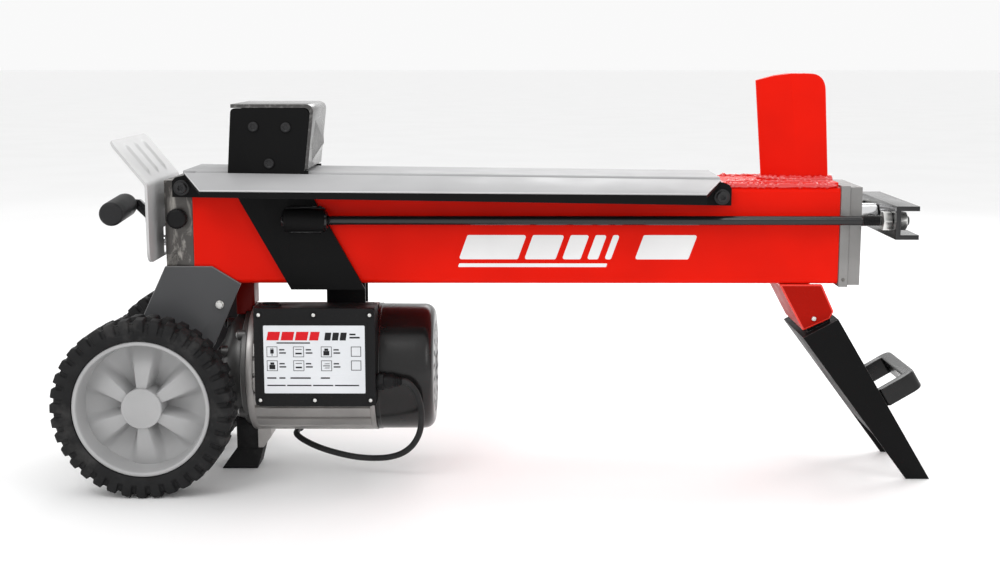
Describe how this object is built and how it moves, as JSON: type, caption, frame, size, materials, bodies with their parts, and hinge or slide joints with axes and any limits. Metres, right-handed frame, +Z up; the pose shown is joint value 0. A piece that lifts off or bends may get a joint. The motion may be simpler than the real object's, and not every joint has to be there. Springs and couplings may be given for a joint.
{
  "type": "electric log splitter",
  "caption": "Small wheeled horizontal electric log splitter: box beam, fixed wedge, hydraulic ram with sliding pusher, motor and pump, folding-sheet leg, hanging power cord.",
  "frame": {"origin": "bottom centre of the bounding box, on the ground, in the machine's middle plane", "axes": "+X along the beam from the wheels to the leg, +Y away from the switch box side, +Z up"},
  "size_m": [0.946, 0.276, 0.443],
  "materials": {
    "red_paint": "gloss",
    "black_paint": "semi-gloss",
    "grey_paint": "satin",
    "bracket_paint": "satin",
    "bright_steel": "satin",
    "dark_steel": "oiled, machined",
    "cast_aluminium": "cast, satin",
    "copper_windings": "lacquered",
    "black_plastic": "fine grain",
    "rim_plastic": "satin",
    "tyre_rubber": "matt",
    "black_rubber": "matt"
  },
  "bodies": {
    "chassis": {"beam": "red_paint", "wedge": "red_paint", "leg_stub": "red_paint", "pump_hanger": "red_paint", "table_frame_near": "black_paint", "table_frame_far": "black_paint", "leg": "black_paint", "motor_bracket": "black_paint", "bed_plate": "grey_paint", "guard_plate": "grey_paint", "table_sheet_near": "grey_paint", "table_sheet_far": "grey_paint", "wheel_bracket_near": "bracket_paint", "wheel_bracket_far": "bracket_paint", "end_flange": "bright_steel", "end_cap": "bright_steel", "cylinder_tube": "bright_steel", "axle": "bright_steel", "valve_block": "dark_steel", "lever_bracket": "dark_steel", "motor_housing": "cast_aluminium", "motor_flange": "cast_aluminium", "pump_housing": "cast_aluminium", "capacitor": "cast_aluminium", "stator": "copper_windings", "fan_cover": "black_plastic", "switch_box": "black_plastic", "box_cover": "black_plastic", "cable_gland": "black_plastic", "carry_handle": "black_plastic", "rubber_foot": "black_rubber", "power_cord": "black_rubber", "mains_plug": "black_rubber", "cord_clip_front": "black_plastic", "cord_clip_rear": "black_plastic"},
    "ram": {"pusher_side_near": "black_paint", "pusher_side_far": "black_paint", "pusher_block": "black_paint", "pusher_face": "black_paint", "tie_rod_near": "dark_steel", "tie_rod_far": "dark_steel", "crossbar": "black_paint", "rod_nut_near": "bright_steel", "rod_nut_far": "bright_steel", "piston_rod": "bright_steel", "piston_nut": "bright_steel", "piston": "bright_steel"},
    "lever": {"lever_bar": "black_paint", "lever_grip": "black_plastic"},
    "plunger": {"valve_plunger": "bright_steel"},
    "bleed": {"bleed_screw": "black_plastic"},
    "wheel_near": {"tyre_near": "tyre_rubber", "rim_near": "rim_plastic", "hub_cap_near": "rim_plastic"},
    "wheel_far": {"tyre_far": "tyre_rubber", "rim_far": "rim_plastic", "hub_cap_far": "rim_plastic"},
    "motor_rotor": {"rotor": "bright_steel", "cooling_fan": "black_plastic"},
    "button": {"start_button": "black_plastic"}
  },
  "joints": [
    {"name": "ram_slide", "type": "slide", "parent": "chassis", "child": "ram", "axis": [1, 0, 0], "range_m": [0, 0.36]},
    {"name": "wheel_near_spin", "type": "hinge", "parent": "chassis", "child": "wheel_near", "pos_m": [-0.3775, -0.1145, 0.0955], "axis": [0, 1, 0], "continuous": true},
    {"name": "wheel_far_spin", "type": "hinge", "parent": "chassis", "child": "wheel_far", "pos_m": [-0.3775, 0.1145, 0.0955], "axis": [0, 1, 0], "continuous": true},
    {"name": "lever_press", "type": "hinge", "parent": "chassis", "child": "lever", "pos_m": [-0.39, 0, 0.2835], "axis": [0, -1, 0], "range_deg": [0, 16], "stiffness_Nm_per_rad": 1, "springref_deg": -28.65},
    {"name": "plunger_slide", "type": "slide", "parent": "chassis", "child": "plunger", "axis": [1, 0, 0], "range_m": [0, 0.0072]},
    {"name": "bleed_screw_turn", "type": "hinge", "parent": "chassis", "child": "bleed", "pos_m": [-0.3504, -0.055, 0.288], "axis": [0, -1, 0], "range_deg": [0, 720]},
    {"name": "rotor_spin", "type": "hinge", "parent": "chassis", "child": "motor_rotor", "pos_m": [-0.214, 0, 0.115], "axis": [1, 0, 0], "continuous": true},
    {"name": "start_button_press", "type": "slide", "parent": "chassis", "child": "button", "axis": [0, 0, -1], "range_m": [0, 0.003], "stiffness_N_per_m": 1500, "springref_m": -0.001}
  ],
  "couplings": [
    {"joint": "plunger_slide", "follows": "lever_press", "m_per_rad": 0.0255}
  ]
}
